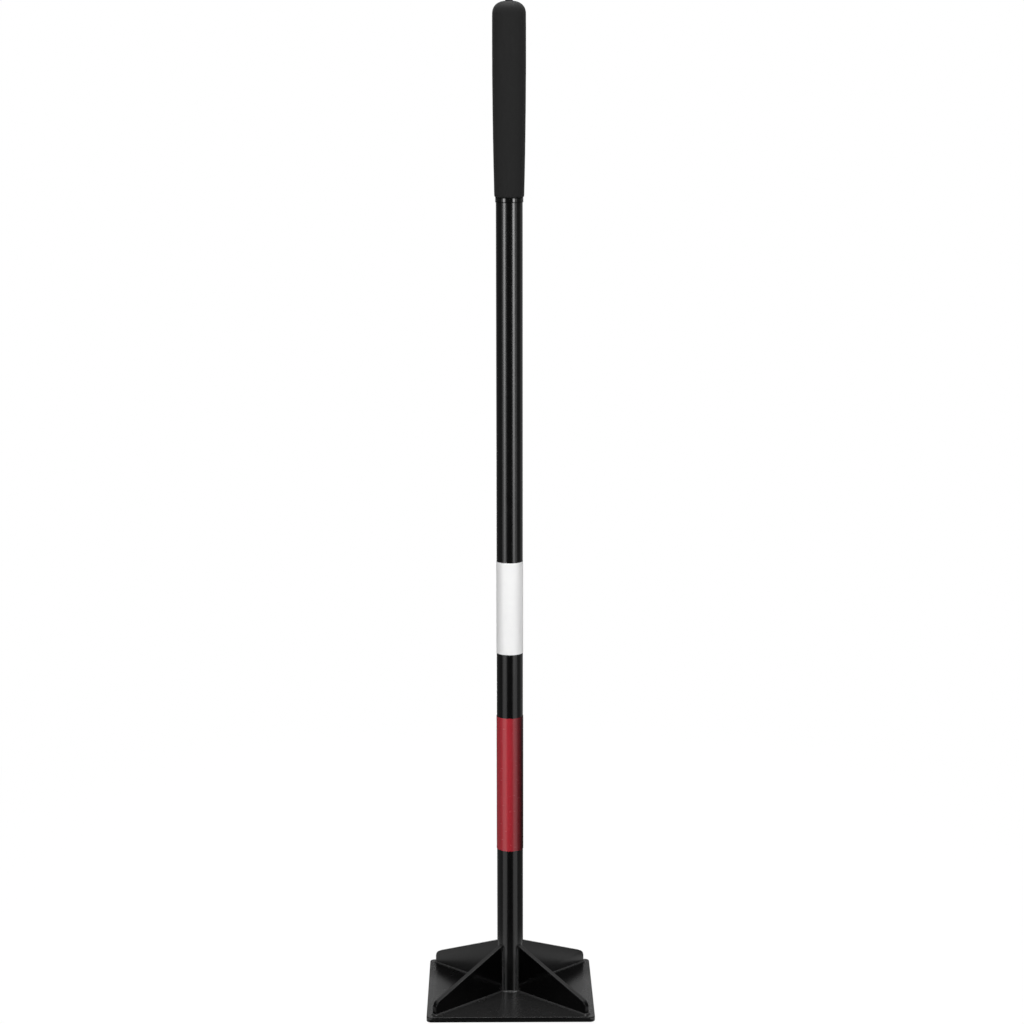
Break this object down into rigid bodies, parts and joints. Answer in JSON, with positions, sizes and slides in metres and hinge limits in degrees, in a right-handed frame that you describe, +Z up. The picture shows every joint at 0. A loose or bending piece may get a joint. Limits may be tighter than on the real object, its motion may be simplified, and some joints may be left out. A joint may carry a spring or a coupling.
{
  "type": "hand tamper",
  "caption": "Upright hand tamper: a square steel foot plate with diagonal gussets welded round a straight tubular handle with a cushioned grip, for ramming soil, gravel or asphalt flat.",
  "frame": {"origin": "centre of the sole, which is the underside of the foot plate", "axes": "+Z up the handle's axis, X and Y along the sides of the square plate, -Y the front that the picture shows"},
  "size_m": [0.2032, 0.2032, 1.2104],
  "materials": {
    "plate_coat": "satin",
    "tube_coat": "gloss",
    "gusset_coat": "satin",
    "weld_coat": "satin",
    "grip_foam": "matte",
    "collar_gloss": "gloss",
    "plug_plastic": "matte",
    "red_film": "satin",
    "white_film": "satin"
  },
  "bodies": {
    "root": {"base_plate": "plate_coat", "handle_tube": "tube_coat", "front_left_gusset": "gusset_coat", "front_right_gusset": "gusset_coat", "rear_left_gusset": "gusset_coat", "rear_right_gusset": "gusset_coat", "tube_base_weld": "weld_coat", "front_left_foot_weld": "weld_coat", "front_right_foot_weld": "weld_coat", "rear_left_foot_weld": "weld_coat", "rear_right_foot_weld": "weld_coat", "front_left_tube_weld": "weld_coat", "front_right_tube_weld": "weld_coat", "rear_left_tube_weld": "weld_coat", "rear_right_tube_weld": "weld_coat", "cushion_grip": "grip_foam", "grip_collar": "collar_gloss", "tube_end_plug": "plug_plastic", "red_label": "red_film", "white_label": "white_film"}
  },
  "joints": []
}
